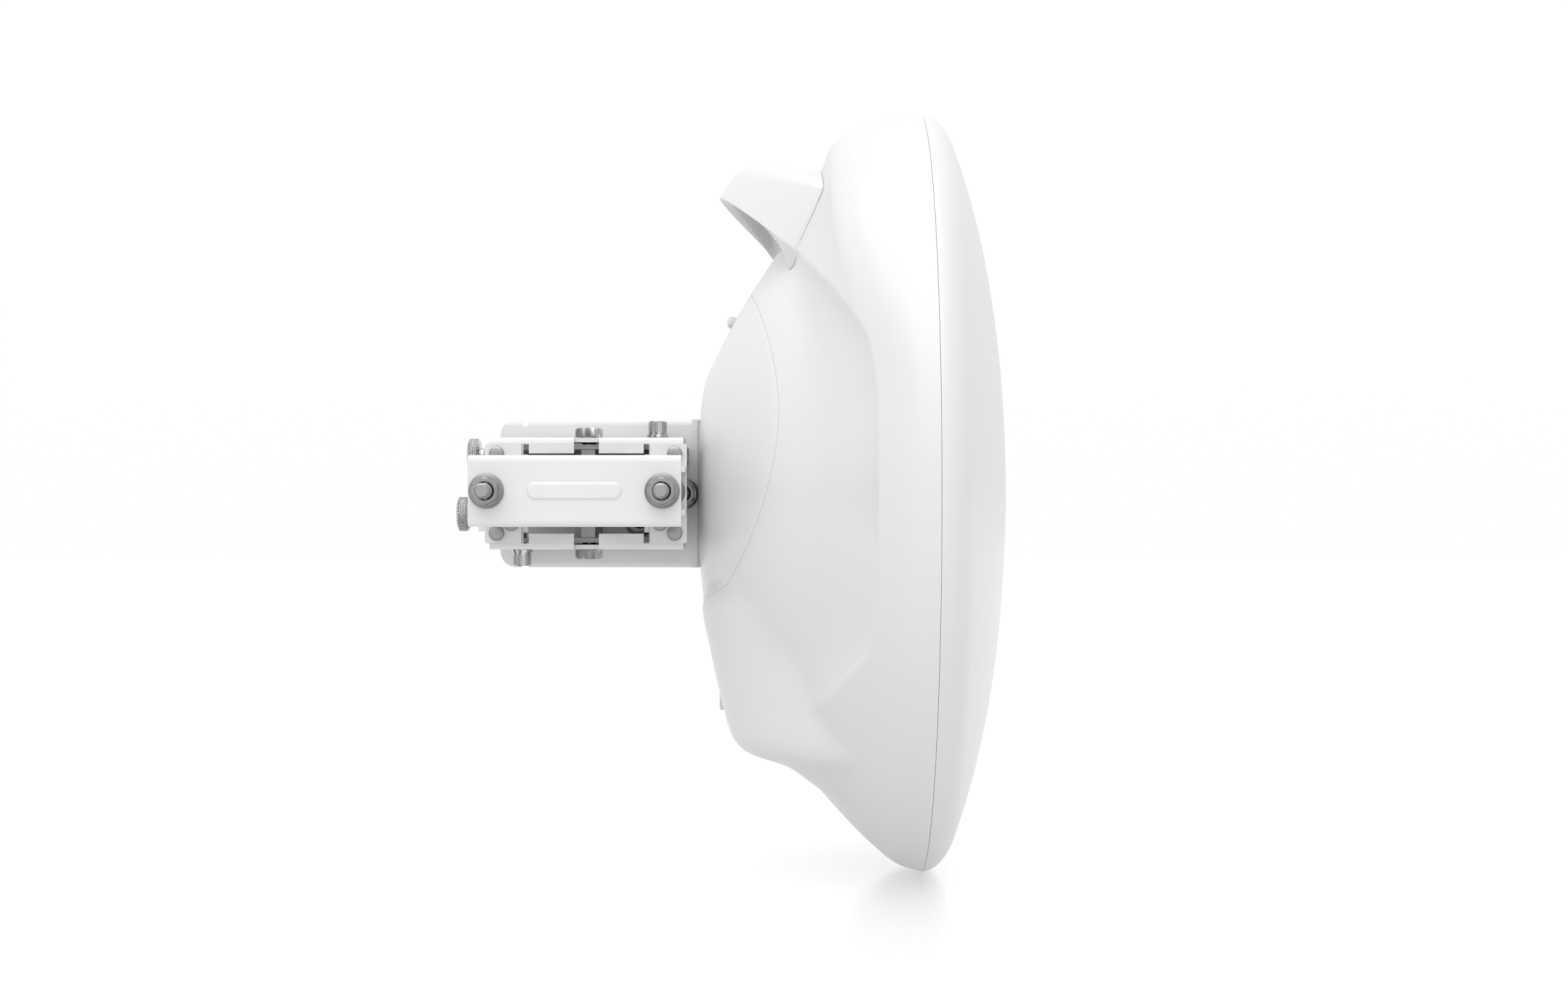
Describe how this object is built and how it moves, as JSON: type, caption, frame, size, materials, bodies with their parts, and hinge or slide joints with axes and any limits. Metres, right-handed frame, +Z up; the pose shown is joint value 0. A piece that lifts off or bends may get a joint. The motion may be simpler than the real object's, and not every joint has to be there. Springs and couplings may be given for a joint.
{
  "type": "outdoor wireless bridge",
  "caption": "Round dish radio with a white radome, moulded back shell and carry handle, on a two-axis steel bracket that clamps to a pole and aims a point-to-point link.",
  "frame": {"origin": "on the pole's axis, level with the dish's axis", "axes": "+X the way the dish looks, +Y from the pole towards the dish's axis, +Z up along the pole"},
  "size_m": [0.3002, 0.424, 0.424],
  "materials": {
    "white_plastic": "satin",
    "rubber": "matte",
    "aluminium": "satin",
    "dielectric": "matte",
    "board": "satin",
    "bright_steel": "gloss",
    "white_paint": "satin",
    "zinc": "satin"
  },
  "bodies": {
    "pole_bracket": {"stud_plate": "white_paint", "azimuth_channel": "white_paint", "inner_jaw": "white_paint", "clamp_bolt_1": "zinc", "clamp_bolt_2": "zinc", "inner_nut_1": "zinc", "inner_nut_2": "zinc", "plate_pin_1": "zinc", "plate_pin_2": "zinc", "plate_pin_3": "zinc", "plate_pin_4": "zinc", "jaw_rivet_1": "zinc", "jaw_rivet_2": "zinc", "azimuth_bolt_top": "zinc", "azimuth_bolt_bottom": "zinc", "azimuth_nut_top": "zinc", "azimuth_nut_bottom": "zinc"},
    "outer_clamp": {"outer_jaw": "white_paint", "outer_nut_1": "zinc", "outer_nut_2": "zinc"},
    "carriage": {"azimuth_carriage": "white_paint", "azimuth_trunnion": "zinc", "azimuth_lock_top": "bright_steel", "azimuth_lock_bottom": "bright_steel", "tilt_bolt": "zinc", "tilt_nut": "zinc", "tilt_lock_bolt_top": "zinc", "tilt_lock_nut_top": "zinc", "tilt_lock_bolt_bottom": "zinc", "tilt_lock_nut_bottom": "zinc"},
    "azimuth_knob": {"azimuth_screw": "bright_steel"},
    "elevation_knob": {"elevation_screw": "bright_steel"},
    "dish": {"elevation_yoke": "white_paint", "elevation_trunnion": "zinc", "bracket_gasket": "rubber", "bracket_screw_1": "zinc", "bracket_screw_2": "zinc", "bracket_screw_3": "zinc", "bracket_screw_4": "zinc", "radome": "white_plastic", "rim_gasket": "rubber", "reflector": "aluminium", "feed_tube": "aluminium", "feed_cone": "dielectric", "sub_reflector": "aluminium", "radio_module": "zinc", "main_board": "board", "heat_spreader": "aluminium", "ethernet_jack": "bright_steel", "fibre_cage": "bright_steel", "position_antenna": "dielectric", "back_shell": "white_plastic", "rear_cover": "white_plastic", "vent_plug": "white_plastic", "carry_handle": "white_plastic", "cable_seal": "rubber"},
    "port_door": {"port_cover": "white_plastic"},
    "latch": {"port_latch": "white_plastic"}
  },
  "joints": [
    {"name": "clamp_close", "type": "slide", "parent": "pole_bracket", "child": "outer_clamp", "axis": [0, 1, 0], "range_m": [-0.01, 0.014]},
    {"name": "azimuth", "type": "hinge", "parent": "pole_bracket", "child": "carriage", "pos_m": [0, 0.0575, 0], "axis": [0, 0, 1], "range_deg": [-10, 10]},
    {"name": "elevation", "type": "hinge", "parent": "carriage", "child": "dish", "pos_m": [0.0504, 0.0815, 0], "axis": [0, -1, 0], "range_deg": [-10, 10]},
    {"name": "azimuth_screw_turn", "type": "hinge", "parent": "pole_bracket", "child": "azimuth_knob", "pos_m": [-0.06, 0.0485, -0.0112], "axis": [1, 0, 0], "range_deg": [-570, 570]},
    {"name": "elevation_screw_turn", "type": "hinge", "parent": "carriage", "child": "elevation_knob", "pos_m": [-0.06, 0.0674, 0.021], "axis": [1, 0, 0], "range_deg": [-1330, 1330]},
    {"name": "port_cover_swing", "type": "hinge", "parent": "dish", "child": "port_door", "pos_m": [0.1038, 0.1055, -0.147], "axis": [0, -1, 0], "range_deg": [0, 80]},
    {"name": "port_latch_slide", "type": "slide", "parent": "dish", "child": "latch", "axis": [0, 0, 1], "range_m": [0, 0.003]}
  ],
  "couplings": [
    {"joint": "azimuth_screw_turn", "follows": "azimuth", "ratio": 56.5},
    {"joint": "elevation_screw_turn", "follows": "elevation", "ratio": 132}
  ]
}
